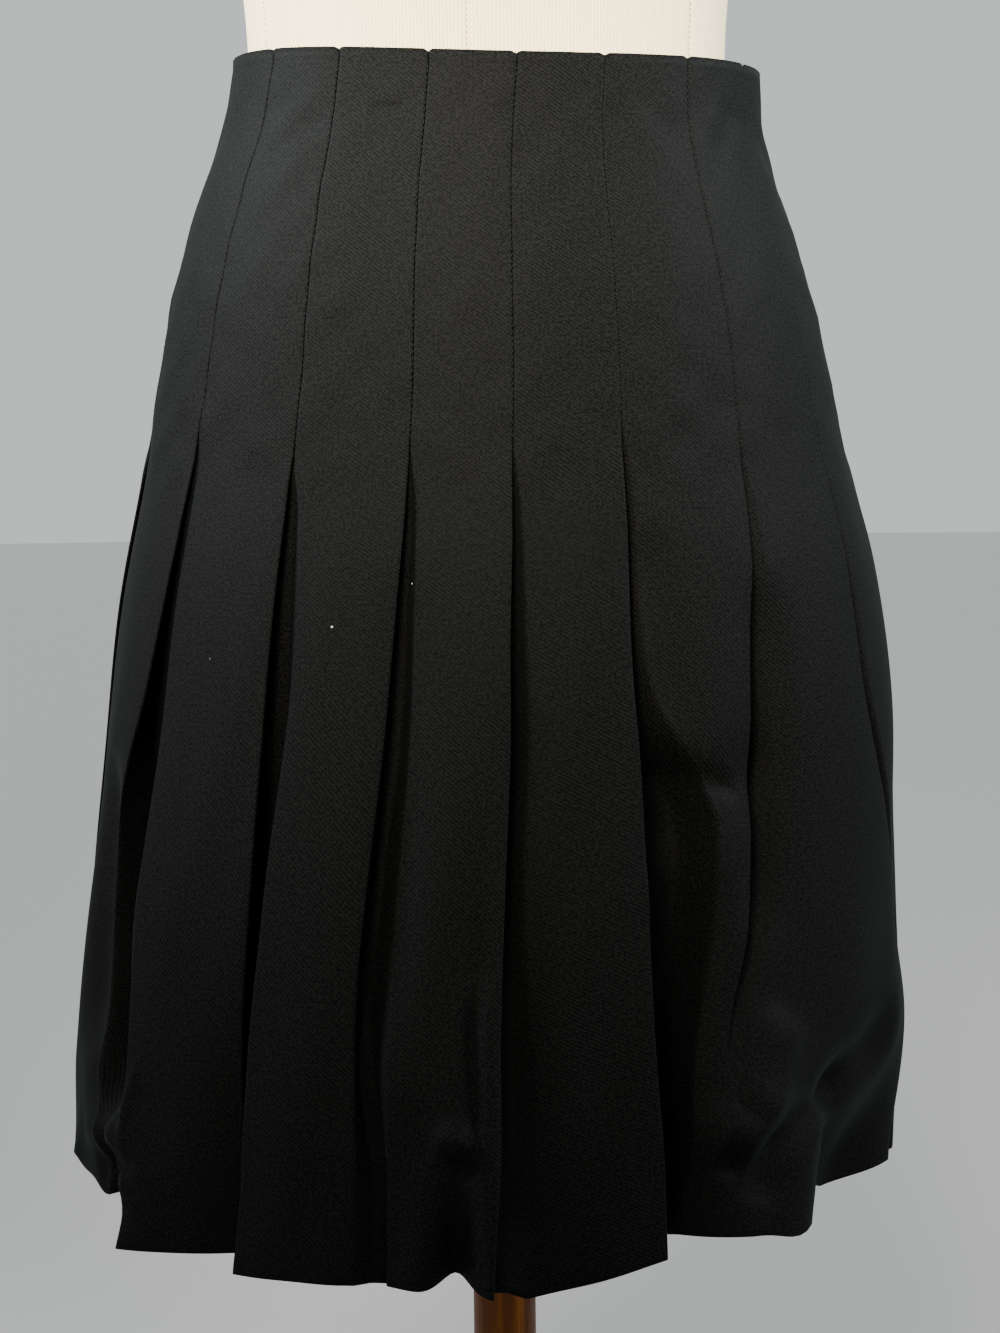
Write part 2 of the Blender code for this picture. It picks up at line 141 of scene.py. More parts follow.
# How far the underlay hangs back from the edge there
FOLD_DEPTH = (
    # hip, thigh, low, deep, hem
    (0.0, 1.5, 2.0, 3.0, 4.0),
    (0.0, 11.0, 26.0, 34.0, 18.0),
    (2.0, 13.0, 20.0, 20.0, 12.0),
    (2.0, 12.0, 14.0, 11.0, 5.0),
    (2.0, 11.0, 12.0, 11.0, 8.0),
    (3.0, 11.0, 30.0, 36.0, 38.0),
    (0.0, 8.0, 13.0, 7.0, 0.0),
    (0.0, 7.0, 14.0, 20.0, 22.0),
    (0.0, 6.0, 13.0, 18.0, 20.0),
    (0.0, 9.0, 12.0, 14.0, 16.0),
    (0.0, 7.0, 14.0, 22.0, 26.0),
    (0.0, 9.0, 16.0, 14.0, 6.0),
    (0.0, 8.0, 12.0, 18.0, 22.0),
    (0.0, 7.0, 18.0, 26.0, 28.0),
    (0.0, 9.0, 12.0, 10.0, 6.0),
    (0.0, 8.0, 16.0, 22.0, 26.0),
)

# How each fold ends at the hem, and where its stitching ends
KNEE_SHARE, EDGE_DROP, NEXT_DROP, STITCH_END = 3, 4, 5, 6  # columns of this table
FOLD_HEM = (
    # lap under the edge, edge stands out, next panel stands out, knee's share of the mouth,
    # drop at the edge, drop at the next panel, drop where the stitching ends
    (14.0, 0.0, 5.0, 0.35, 555.0, 556.0, 176.0),
    (-16.0, -12.0, 5.0, 0.30, 553.0, 572.0, 172.0),
    (14.0, -20.0, 4.0, 0.60, 568.0, 572.0, 185.0),
    (-14.0, 0.0, -2.0, 0.35, 570.0, 570.0, 184.0),
    (3.0, 8.0, -3.0, 0.35, 573.0, 577.0, 184.0),
    (14.0, 4.0, -9.0, 0.75, 561.0, 555.0, 174.0),
    (-3.0, 0.0, 0.0, 0.35, 558.0, 558.0, 180.0),
    (14.0, 0.0, 0.0, 0.35, 558.0, 558.0, 195.0),
    (14.0, 0.0, 0.0, 0.35, 560.0, 560.0, 184.0),
    (8.0, 2.0, -4.0, 0.40, 566.0, 568.0, 188.0),
    (12.0, 3.0, -8.0, 0.60, 570.0, 566.0, 179.0),
    (-8.0, 0.0, 0.0, 0.35, 568.0, 568.0, 186.0),
    (12.0, 4.0, -6.0, 0.50, 571.0, 567.0, 191.0),
    (10.0, -6.0, 3.0, 0.35, 562.0, 568.0, 183.0),
    (-6.0, 0.0, 0.0, 0.35, 568.0, 566.0, 178.0),
    (12.0, 2.0, -6.0, 0.60, 560.0, 554.0, 187.0),
)

# Soft hollows and swellings of the cloth
RELIEFS = (
    # share, drop, half width, half height, slant, depth (a swelling below nought), lift
    (-0.176, 524.0, 22.0, 20.0, 0.30, -5.0, 0.0),
    (-0.160, 556.0, 13.0, 14.0, 0.00, 6.0, 0.0),
    (-0.240, 520.0, 60.0, 70.0, 0.00, -3.0, 0.0),
    (-0.228, 565.0, 10.0, 30.0, 0.00, -3.0, 6.0),
    (-0.192, 565.0, 11.0, 30.0, 0.00, 0.0, -8.0),
    (-0.011, 580.0, 9.0, 50.0, 0.00, 18.0, 6.0),
    (-0.003, 460.0, 7.0, 70.0, -0.05, 3.0, 0.0),
    (0.105, 345.0, 22.0, 18.0, 0.20, 4.0, 0.0),
    (0.099, 506.0, 21.0, 16.0, 0.50, -12.0, 0.0),
    (0.190, 558.0, 36.0, 46.0, 0.00, 34.0, -5.0),
    (0.159, 600.0, 19.0, 66.0, 0.00, 48.0, 3.0),
    (0.126, 590.0, 17.0, 36.0, 0.00, 0.0, -12.0),
    (0.178, 585.0, 9.0, 36.0, 0.00, 0.0, 8.0),
    (0.205, 476.0, 26.0, 28.0, 0.00, -5.0, 0.0),
    (0.250, 485.0, 50.0, 60.0, 0.00, -3.0, 0.0),
    (0.330, 560.0, 18.0, 70.0, 0.10, 9.0, 2.0),
    (0.400, 480.0, 24.0, 90.0, 0.00, -6.0, 0.0),
    (0.455, 575.0, 14.0, 60.0, -0.20, 10.0, 3.0),
    (-0.440, 350.0, 24.0, 22.0, -0.20, 4.0, 0.0),
    (-0.395, 565.0, 14.0, 70.0, 0.10, 10.0, 2.0),
    (-0.330, 490.0, 24.0, 80.0, 0.00, -6.0, 0.0),
)

# How the free cloth turns inside a fold. The mouth is the gap from a fold's edge to the start of the next
# panel, and the knee is the bend where the underlay turns up to that panel.
RELEASE_DROP = 180.0  # where the stitching ends on the whole
RELEASE_LENGTH = 34.0  # a fold opens over this much below its stitching
MELT_DROP = 300.0  # from here down the laps change to those at the hem
MELTED = {
    # fold: the drop where it is gone, and how widely it spreads as it goes
    1: (440.0, 1.0),
    3: (525.0, 1.0),
    6: (498.0, 0.1),
}
MELT_LENGTH = 75.0  # such a fold softens over this much above that drop
LAP_DROPS = (0.0, 190.0, 300.0)
SOFT_LAP = 6.0  # a fold with less lap than this turns as a soft bend
SOFT_RANGE = 12.0  # and is quite soft with this much less
SOFT_INNER = 4.0  # how far a soft bend spreads at its inner fold
SOFT_EDGE = 3.0  # and at its edge
HIGH_KNEE = 0.50  # the knee's share of the mouth, down to the next drop
KNEE_DROP = 325.0
KNEE_LENGTH = 40.0  # below it the share goes over to the fold's own in this length
KNEE_RISE = 0.15  # share of the climb to the next panel that is done at the knee
SOFT_KNEE_RISE = 0.35  # what a soft bend adds to it
KNEE_GAP = 0.1  # the knee keeps this far from the next panel where the fold is stitched
EVEN_COLUMNS = 0.45  # how evenly a panel's columns lie; the rest crowd towards its edges

# Where one fold is pulled wider over a short length
PULLS = (
    # fold, drop, half height, extra mouth, extra depth
    (5, 352.0, 30.0, 11.0, 8.0),
    (1, 521.0, 25.0, 0.0, -24.0),
)

# Creases and wrinkles that only the fine cloth carries: a soft line from one place to another
CREASES = (
    # from share, from drop, to share, to drop, half width, depth (a ridge below nought)
    (-0.080, 27.0, -0.054, 25.0, 2.2, 1.7),
    (0.064, 339.0, 0.095, 349.0, 8.0, 5.0),
    (0.095, 343.0, 0.095, 354.0, 5.0, 2.5),
    (0.070, 376.0, 0.078, 400.0, 22.0, -2.0),
    (-0.007, 436.0, -0.004, 505.0, 3.5, 3.0),
    (-0.001, 424.0, 0.001, 569.0, 6.0, -3.0),
    (-0.020, 500.0, -0.005, 505.0, 6.0, -4.0),
    (-0.014, 516.0, -0.004, 513.0, 5.0, 5.0),
    (-0.148, 478.0, -0.156, 516.0, 3.0, -1.5),
    (-0.216, 533.0, -0.153, 516.0, 8.0, -4.0),
    (-0.201, 543.0, -0.145, 530.0, 6.0, 5.0),
    (0.123, 455.0, 0.099, 500.0, 14.0, -7.0),
    (0.122, 247.0, 0.110, 430.0, 13.0, 7.0),
    (-0.207, 330.0, -0.208, 500.0, 18.0, 9.0),
    (0.085, 515.0, 0.098, 524.0, 6.0, 8.0),
    (0.205, 478.0, 0.140, 504.0, 13.0, 7.0),
    (0.170, 497.0, 0.104, 514.0, 10.0, 6.0),
    (0.113, 508.0, 0.105, 545.0, 11.0, 5.0),
    (-0.042, 238.0, -0.033, 484.0, 13.0, 4.0),
    (0.012, 303.0, 0.011, 531.0, 11.0, 3.0),
    (0.066, 225.0, 0.065, 323.0, 12.0, 4.0),
)

# Faint waves and swellings, drawn from one seeded stream
WAVE_SEED = 4
WAVE_COUNT = 14
WAVE_STITCHED = 0.06  # strength of the waves where the cloth is stitched
WAVE_FREE = 0.22  # what is added where it hangs
WAVE_GROWTH = 250.0  # over this much below the stitching
PUCKER_COUNT = 10

# Stretches of the cloth's mesh, with closer rows where the folds are strong
ROW_DROPS = (
    # from drop, to drop, rows
    (-4.0, 20.0, 5),
    (20.0, 44.0, 9),
    (44.0, 170.0, 14),
    (170.0, 320.0, 22),
    (320.0, 380.0, 15),
    (380.0, 440.0, 10),
    (440.0, 570.0, 33),
)
PANEL_STEPS = 29  # columns across one panel

# ---------------------------------------------------------------- the form
FORM_SECTIONS = (
    # height from the skirt's waist edge, half width, half depth, shift forward
    (480.0, 0.0, 0.0, 0.0),
    (479.0, 44.0, 44.0, 0.0),
    (470.0, 52.0, 52.0, 0.0),
    (440.0, 53.0, 54.0, 0.0),
    (415.0, 60.0, 58.0, 0.0),
    (398.0, 80.0, 62.0, -2.0),
    (380.0, 112.0, 70.0, -3.0),
    (355.0, 143.0, 80.0, -3.0),
    (320.0, 155.0, 91.0, 0.0),
    (270.0, 155.0, 105.0, 5.0),
    (225.0, 154.0, 116.0, 9.0),
    (185.0, 151.0, 119.0, 10.0),
    (140.0, 143.0, 112.0, 7.0),
    (90.0, 131.0, 101.0, 3.0),
    (40.0, 123.5, 94.0, 1.0),
    (0.0, 121.5, 91.5, 0.0),
    (-30.0, 126.5, 96.5, 0.0),
    (-70.0, 142.0, 108.0, 0.0),
    (-110.0, 154.0, 118.0, 0.0),
    (-150.0, 162.0, 125.0, 0.0),
    (-190.0, 168.0, 130.0, 0.0),
    (-240.0, 170.0, 132.0, 0.0),
    (-290.0, 165.0, 129.0, 0.0),
    (-320.0, 158.0, 124.0, 0.0),
    (-335.0, 145.0, 113.0, 0.0),
    (-340.0, 120.0, 92.0, 0.0),
    (-340.0, 0.0, 0.0, 0.0),
)
FORM_SHIFT = -1.5  # of the form's middle from the stand's, to the right
FORM_RINGS = 150
FORM_SEAMS = 6
FORM_TURN = math.radians(-4.3)  # the centre seam stands a little to the left
FORM_RADIUS = 135.0  # the form's usual radius, which gives the linen its scale
SEAM_COLUMNS = 22  # columns of the cover between two seams
SEAM_CROWDING = 0.93  # how much closer together they lie beside a seam
COVER_SEAM_WIDTH = 1.3
COVER_SEAM_DEPTH = 0.7

# ---------------------------------------------------------------- sewing
STITCH_PITCH = 3.1
STITCH_LENGTH = 2.3
STITCH_RADIUS = 0.26
STITCH_START = 4.0  # the first stitch lies this far below the waist edge
STITCH_ASIDE = 0.1  # from the fold's edge into the seam
STITCH_PROUD = 0.05
COVER_STITCH_PITCH = 2.7
COVER_STITCH_LENGTH = 1.5
COVER_STITCHES_FROM = 70.0  # from the middle of the form's top, along its side
COVER_STITCHES_TO = 150.0  # short of the middle of its underside

# ---------------------------------------------------------------- camera and light, in metres
PICTURE_HEIGHT = 1333.0  # of the reference picture, in its pixels
FOCAL_PIXELS = 2500.0  # the lens that fits its perspective
LEVEL_ROW = 470.0  # the row of pixels that lies level with the camera
SENSOR = 36.0
CAMERA_PLACE = (0.0016, -1.30, 0.83)
CAMERA_PITCH = math.atan((PICTURE_HEIGHT / 2 - LEVEL_ROW) / FOCAL_PIXELS)
CAMERA_ROLL = math.radians(0.7)
CAMERA_LENS = FOCAL_PIXELS / PICTURE_HEIGHT * SENSOR

WARM_LIGHT = (1.0, 0.96, 0.88)
COOL_LIGHT = (0.84, 0.96, 1.0)
LIGHTS = (
    # name, place, target, diameter, watts, colour, spread in degrees
    ("key", (-0.3, -1.3, 1.6), (0.0, -0.1, 1.13), 0.6, 8.2, WARM_LIGHT, 38.0),
    ("side", (1.8, -0.3, 2.1), (0.1, 0.0, 1.14), 0.7, 10.5, COOL_LIGHT, 44.0),
    ("far side", (-1.8, -0.1, 2.1), (-0.1, 0.0, 1.25), 0.7, 13.0, COOL_LIGHT, 40.0),
)
SURROUND_STRENGTH = 0.72
FLOOR_RADIUS = 30.0
FLOOR_GAP = 0.0003  # the floor lies this far under the base


# ---------------------------------------------------------------- shader sums
class Value:
    """A shader socket that takes part in Python sums."""

    def __init__(self, finish, socket):
        self.finish = finish
        self.socket = socket

    def sum(self, operation, *terms):
        return self.finish.node("ShaderNodeMath", {"operation": operation}, dict(enumerate(terms)))

    def __add__(self, other):
        return self.sum("ADD", self, other)

    def __sub__(self, other):
        return self.sum("SUBTRACT", self, other)

    def __rsub__(self, other):
        return self.sum("SUBTRACT", other, self)

    def __mul__(self, other):
        return self.sum("MULTIPLY", self, other)

    def __truediv__(self, other):
        return self.sum("DIVIDE", self, other)

    def wave(self):
        """A sine wave of this many turns, from 0 to 1."""
        return self.sum("SINE", self * math.tau) * 0.5 + 0.5

    def above(self, low, high):
        """0 below low, 1 above high, soft between."""
        limits = {"From Min": low, "From Max": high}
        return self.finish.node(
            "ShaderNodeMapRange", {"interpolation_type": "SMOOTHSTEP"}, {"Value": self, **limits}
        )


class Finish:
    """One material: its tree of nodes round a principled shader, whose constants are given by socket name."""

    def __init__(self, name, **constants):
        self.material = bpy.data.materials.new(name)
        self.material.use_nodes = True
        self.tree = self.material.node_tree
        self.shader = self.tree.nodes["Principled BSDF"]
        for socket, value in constants.items():
            self.feed(self.shader.inputs[socket.replace("_", " ")], value)

    def feed(self, socket, value):
        """Links a value to a socket, or sets a constant on it."""
        if isinstance(value, Value):
            self.tree.links.new(value.socket, socket)
        else:
            socket.default_value = value

    def node(self, kind, settings=None, sockets=None, output=0):
        """Any other node: its settings come first, then its sockets."""
        made = self.tree.nodes.new(kind)
        for name, value in (settings or {}).items():
            setattr(made, name, value)
        for key, value in (sockets or {}).items():
            self.feed(made.inputs[key], value)
        return Value(self, made.outputs[output])

    def axes(self, output):
        """The three numbers of a texture coordinate."""
        place = self.node("ShaderNodeTexCoord", output=output)
        return [self.node("ShaderNodeSeparateXYZ", sockets={0: place}, output=axis) for axis in range(3)]

    def vector(self, x, y, z=0.0):
        return self.node("ShaderNodeCombineXYZ", sockets={0: x, 1: y, 2: z})

    def noise(self, place, scale, detail=2.0, roughness=0.5):
        sockets = {"Vector": place, "Scale": scale, "Detail": detail, "Roughness": roughness}
        return self.node("ShaderNodeTexNoise", sockets=sockets)

    def mix(self, factor, first, second):
        sockets = {"Factor": factor, 6: first, 7: second}
        return self.node("ShaderNodeMix", {"data_type": "RGBA"}, sockets, output=2)

    def set(self, socket, value):
        self.feed(self.shader.inputs[socket], value)

    def bump(self, height, distance, strength=1.0):
        sockets = {"Height": height, "Distance": distance, "Strength": strength}
        self.set("Normal", self.node("ShaderNodeBump", sockets=sockets))


def tone(red, green, blue):
    return (red, green, blue, 1.0)


# Colours
CREPE_DARK = tone(0.0012, 0.0012, 0.0011)
CREPE_LIGHT = tone(0.0054, 0.0052, 0.0045)
CREPE_SHEEN = tone(0.50, 0.85, 0.92)
LINT = tone(0.70, 0.66, 0.58)
LINEN_LIGHT = tone(0.85, 0.69, 0.40)
LINEN_LINE = tone(0.36, 0.21, 0.09)
LINEN_CLOUD = tone(0.66, 0.50, 0.31)
WOOD_DARK = tone(0.088, 0.023, 0.0009)
WOOD_LIGHT = tone(0.250, 0.084, 0.0032)
WOOD_FIBRE = tone(0.105, 0.030, 0.0011)
WOOD_PORE = tone(0.012, 0.004, 0.001)
TAPE_DARK = tone(0.006, 0.006, 0.007)
TAPE_LIGHT = tone(0.020, 0.020, 0.022)
# The black thread's tones sit above the crepe's, and its light tone along the twist is a painted glint on the
# stitches.
BLACK_THREAD_WITH_GLINT = (tone(0.003, 0.003, 0.003), tone(0.009, 0.009, 0.009))
BROWN_THREAD = (tone(0.045, 0.030, 0.018), tone(0.12, 0.085, 0.05))
FLOOR_COLOUR = tone(0.72, 0.72, 0.71)
SURROUND_COLOUR = tone(0.95, 0.98, 1.0)

# From one rib, thread or twist to the next, in metres
CREPE_RIB_ACROSS = 0.0026
CREPE_RIB_ALONG = 0.0019
LINEN_RIB = 0.0020
LINEN_ZIGZAG = 0.0028
THREAD_TWIST_UP = 0.0005
THREAD_TWIST_ROUND = 0.0007
TAPE_ROW = 0.0016
TAPE_CHEVRON = 0.0050
TAPE_WEFT = 0.0006


def crepe_finish():
    """Black crepe: a flecked grain, cross threads, a faint slanting rib and rare specks of lint."""
    finish = Finish("black crepe", Sheen_Weight=0.006, Sheen_Roughness=0.40, Sheen_Tint=CREPE_SHEEN)
    finish.set("Specular IOR Level", 0.03)
    across, along, _ = finish.axes("UV")
    place = finish.vector(across, along)
    drift = finish.noise(place, scale=40.0) * 1.2
    rib = (across / CREPE_RIB_ACROSS + along / CREPE_RIB_ALONG + drift).wave()
    upright = finish.noise(finish.vector(across * 3.0, along), scale=280.0)
    crosswise = finish.noise(finish.vector(across, along * 3.0), scale=280.0)
    fleck = finish.noise(place, scale=760.0, roughness=0.6)
    cloudy = finish.noise(place, scale=26.0, detail=4.0, roughness=0.6)
    ribbed = (rib - 0.5) * (cloudy.above(0.35, 0.65) * 0.09 + 0.06)
    grain = fleck * 0.64 + upright * 0.18 + crosswise * 0.18 + ribbed
    colour = finish.mix(grain.above(0.39, 0.61), CREPE_DARK, CREPE_LIGHT)
    speck = finish.node("ShaderNodeTexVoronoi", {"feature": "F1"}, {"Vector": place, "Scale": 26.0})
    lint = (1.0 - speck.above(0.012, 0.021)) * cloudy.above(0.55, 0.59)
    finish.set("Base Color", finish.mix(lint, colour, LINT))
    finish.set("Roughness", fleck * 0.16 + 0.58)
    finish.bump(grain, distance=0.0004, strength=0.6)
    return finish.material


def linen_finish():
    """Cream linen knitted in upright wavy ribs, with tan flecks."""
    finish = Finish("cream linen", Sheen_Weight=0.08, Sheen_Roughness=0.5)
    finish.set("Specular IOR Level", 0.25)
    across, along, _ = finish.axes("UV")
    place = finish.vector(across, along)
    uneven = finish.noise(place, scale=160.0, detail=3.0, roughness=0.6)
    zigzag = (along / LINEN_ZIGZAG + uneven * 0.8).wave() * 0.34
    rib = (across / LINEN_RIB + zigzag + uneven * 0.5).wave()
    line = rib.above(0.66, 0.98)
    flecked = finish.noise(finish.vector(across * 1.5, along), scale=520.0, roughness=0.7)
    fleck = flecked.above(0.56, 0.74)
    cloudy = finish.noise(place, scale=9.0, detail=3.0, roughness=0.55)
    colour = finish.mix(line * 0.55 + fleck * 0.22, LINEN_LIGHT, LINEN_LINE)
    colour = finish.mix(cloudy.above(0.40, 0.75) * 0.25, colour, LINEN_CLOUD)
    finish.set("Base Color", colour)
    finish.set("Roughness", fleck * 0.08 + 0.82)
    finish.bump(rib * 0.7 + fleck * 0.3, distance=0.0004, strength=0.6)
    return finish.material


def wood_finish(name, upright):
    """Brown stained wood, its grain along the post or across the base."""
    finish = Finish(name, Coat_Roughness=0.30)
    finish.set("Specular IOR Level", 0.12)
    x, y, z = finish.axes("Object")
    length, width, depth = (z, x, y) if upright else (x, y, z)
    bend = finish.noise(finish.vector(width, depth, length * 0.12), scale=14.0) * 0.020
    place = finish.vector(width + bend, depth + bend, length * 0.035)
    fibre = finish.noise(place, scale=900.0, detail=4.0, roughness=0.65)
    band = finish.noise(place, scale=105.0, detail=3.0, roughness=0.6)
    pored = finish.noise(finish.vector(width, depth, length * 0.02), scale=2600.0, detail=1.0)
    pore = pored.above(0.60, 0.70)
    colour = finish.mix(band.above(0.34, 0.68), WOOD_DARK, WOOD_LIGHT)
    colour = finish.mix(fibre.above(0.45, 0.72) * 0.7, colour, WOOD_FIBRE)
    colour = finish.mix(pore * 0.6, colour, WOOD_PORE)
    finish.set("Base Color", colour)
    finish.set("Coat Weight", band * 0.06)
    finish.set("Roughness", fibre * 0.22 + 0.34)
    finish.bump(fibre * 0.5 - pore, distance=0.0002, strength=0.5)
    return finish.material


def thread_finish(name, dark, light):
    """Twisted sewing thread, a dark and a light tone along the twist; for the black thread the light tone is
    a painted glint.
    """
    finish = Finish(name)
    finish.set("Specular IOR Level", 0.03)
    x, y, z = finish.axes("Object")
    twist = (z / THREAD_TWIST_UP + (x + y) / THREAD_TWIST_ROUND).wave()
    # Along the twist the dark and the light tone alternate: the twist is the thread's own, and on the black
    # thread the light tone is a painted glint.
    finish.set("Base Color", finish.mix(twist, dark, light))
    finish.set("Roughness", twist * 0.15 + 0.42)
    finish.bump(twist, distance=0.00005, strength=0.5)
    return finish.material


def tape_finish():
    """Woven zip tape, in a fine herringbone."""
    finish = Finish("woven tape", Sheen_Weight=0.05)
    _, y, z = finish.axes("Object")
    chevron = (z / TAPE_ROW + (y / TAPE_CHEVRON).wave() * 1.2).wave()
    weft = (z / TAPE_WEFT).wave()
    grain = chevron * 0.6 + weft * 0.4
    finish.set("Base Color", finish.mix(grain, TAPE_DARK, TAPE_LIGHT))
    finish.set("Roughness", grain * 0.12 + 0.62)
    finish.bump(grain, distance=0.00015, strength=0.6)
    return finish.material


# ---------------------------------------------------------------- where the cloth lies
def smooth(value, places, heights):
    """A curve through a table's column, with no overshoot between its rows."""
    x = np.asarray(places, float)
    y = np.asarray(heights, float)
    slope = np.diff(y) / np.diff(x)
    lean = np.concatenate([[slope[0]], (slope[:-1] + slope[1:]) / 2, [slope[-1]]])
    turn = np.concatenate([[False], slope[:-1] * slope[1:] <= 0, [False]])
    lean[turn] = 0.0
    value = np.clip(value, x[0], x[-1])
    row = np.clip(np.searchsorted(x, value) - 1, 0, len(x) - 2)
    span = x[row + 1] - x[row]
    t = (value - x[row]) / span
    start = (1 + 2 * t) * (1 - t) ** 2 * y[row] + t * (1 - t) ** 2 * span * lean[row]
    end = t * t * (3 - 2 * t) * y[row + 1] + t * t * (t - 1) * span * lean[row + 1]
    return start + end


def ease(value):
    """From 0 to 1 with soft ends."""
    value = np.clip(value, 0.0, 1.0)
    return value * value * (3 - 2 * value)


def column(table, index):
    return [row[index] for row in table]


def ellipse_at(drop):
    """Half width, half depth and shift of the skirt's outer line."""
    drops = column(SKIRT_SECTIONS, 0)
    return [smooth(drop, drops, column(SKIRT_SECTIONS, index)) for index in (1, 2, 3)]


# A table that turns a share of each ring into an angle
RING_DROPS = np.arange(-12.0, 640.0, 4.0)
RING_SHARES = np.linspace(-1.0, 1.3, 1151)


def ring_tables():
    """The length all round at each ring, and the angle at each share of it."""
    turns = np.linspace(-2 * math.pi, 3 * math.pi, 1801)
    lengths = []
    angles = []
    for drop in RING_DROPS:
        wide, deep, _ = ellipse_at(drop)
        steps = np.hypot(np.diff(wide * np.sin(turns)), np.diff(deep * np.cos(turns)))
        arc = np.concatenate([[0.0], np.cumsum(steps)])
        length = np.interp(0.0, turns, arc)
        lengths.append(length)
        angles.append(np.interp(RING_SHARES, arc / length - 1, turns))
    return np.array(lengths), np.array(angles)


RING_LENGTHS, RING_ANGLES = ring_tables()


def around_at(drop):
    """The length all round the skirt's outer line."""
    return np.interp(drop, RING_DROPS, RING_LENGTHS)


def angle_at(drop, share):
    """The angle at a share of the ring, read between four entries of the table."""
    row = np.clip((drop - RING_DROPS[0]) / (RING_DROPS[1] - RING_DROPS[0]), 0, len(RING_DROPS) - 1.001)
    step = (share - RING_SHARES[0]) / (RING_SHARES[1] - RING_SHARES[0])
    low_row = row.astype(int)
    low_step = step.astype(int)
    down = row - low_row
    on = step - low_step
    first = RING_ANGLES[low_row, low_step] * (1 - on) + RING_ANGLES[low_row, low_step + 1] * on
    second = RING_ANGLES[low_row + 1, low_step] * (1 - on) + RING_ANGLES[low_row + 1, low_step + 1] * on
    return first * (1 - down) + second * down


def round_gap(share, place):
    """How far one share of the ring is from another, the shorter way round."""
    return (share - place + 0.5) % 1.0 - 0.5


def relief_at(share, drop, around):
    """How far the hollows and swellings push the cloth in and up."""
    pushed = np.zeros_like(share)
    lifted = np.zeros_like(share)
    for place, level, half_width, half_height, slant, depth, lift in RELIEFS:
        across = round_gap(share, place) * around - slant * (level - drop)
        strength = np.exp(-((across / half_width) ** 2) - ((drop - level) / half_height) ** 2)
        pushed += depth * strength
        lifted += lift * strength
    return pushed, lifted


def creases_at(share, drop, around):
    """How far the creases push the cloth in: each is a soft line that fades at its ends."""
    pushed = np.zeros_like(share)
    for from_share, from_drop, to_share, to_drop, half_width, depth in CREASES:
        run = (round_gap(to_share, from_share) * around, to_drop - from_drop)
        away = (round_gap(share, from_share) * around, drop - from_drop)
        length = run[0] ** 2 + run[1] ** 2
        along = (away[0] * run[0] + away[1] * run[1]) / length
        near = np.clip(along, 0.0, 1.0)
        gap = np.hypot(away[0] - near * run[0], away[1] - near * run[1])
        fade = ease(1.0 - np.abs(2 * near - 1.0) ** 3)
        pushed += depth * fade * np.exp(-((gap / half_width) ** 2))
    return pushed


WAVES = []
wave_draw = random.Random(WAVE_SEED)
for _ in range(WAVE_COUNT):
    WAVES.append(
        (
            wave_draw.randint(9, 34),  # waves in one turn
            wave_draw.uniform(-4.0, 4.0),  # how far they lean over the whole length
            wave_draw.uniform(0.0, math.tau),
            wave_draw.uniform(0.3, 1.0),
        )
    )


def waves_at(share, drop):
    """Faint upright waves, stronger where the cloth hangs free."""
    total = np.zeros_like(share)
    for count, lean, phase, strength in WAVES:
        total += strength * np.sin(math.tau * (share * count + lean * drop / HEM_DROP) + phase)
    return total * (WAVE_STITCHED + WAVE_FREE * ease((drop - RELEASE_DROP) / WAVE_GROWTH))


PUCKERS = []
for _ in range(PUCKER_COUNT):
    PUCKERS.append(
        (
            wave_draw.randint(12, 34),  # swellings in one turn
            wave_draw.uniform(26.0, 52.0),  # from one to the next, down the cloth
            wave_draw.uniform(0.0, math.tau),
            wave_draw.uniform(0.4, 1.0),
        )
    )


def puckers_at(share, drop):
    """Soft swellings where the pleats are stitched down, fading out below the stitching."""
    total = np.zeros_like(share)
    for count, length, phase, strength in PUCKERS:
        round_wave = np.sin(math.tau * share * count + phase)
        down_wave = np.sin(math.tau * drop / length + 2 * phase)
        total += strength * round_wave * down_wave
    return total * PUCKER * ease(drop / PUCKER_START) * (1 - ease((drop - RELEASE_DROP) / PUCKER_FADE))


def nicks_at(share, drop):
    """The waist edge dips a little at each stitched seam."""
    around = around_at(drop)
    total = np.zeros_like(share)
    for row in range(PLEATS):
        gap = round_gap(share, FIRST_SEAM + row / PLEATS + FOLD_SWING[row][0] / around) * around
        total += np.exp(-((gap / NICK_WIDTH) ** 2))
    return total * NICK * np.clip(1 - drop / NICK_LENGTH, 0, 1)


def place_on_skirt(drop, arc, out):
    """The points that lie this far down, this far round and this far out."""
    wide, deep, shift = ellipse_at(drop)
    around = around_at(drop)
    share = arc / around
    angle = angle_at(drop, share)
    normal_x = np.sin(angle) / wide
    normal_y = -np.cos(angle) / deep
    length = np.hypot(normal_x, normal_y)
    pushed, lifted = relief_at(share, drop, around)
    out = out - pushed - creases_at(share, drop, around) + waves_at(share, drop) + puckers_at(share, drop)
    x = shift + wide * np.sin(angle) + out * normal_x / length
    y = -deep * np.cos(angle) + out * normal_y / length
    dip = WAIST_DIP * np.clip(np.cos(angle), 0, None) ** 3
    fade = np.clip(1 - drop / TILT_FADE, 0, None)
    z = WAIST_HEIGHT - drop + lifted - nicks_at(share, drop) - (WAIST_TILT * x + dip) * fade
    return np.stack([x, y, z], axis=-1) * MM


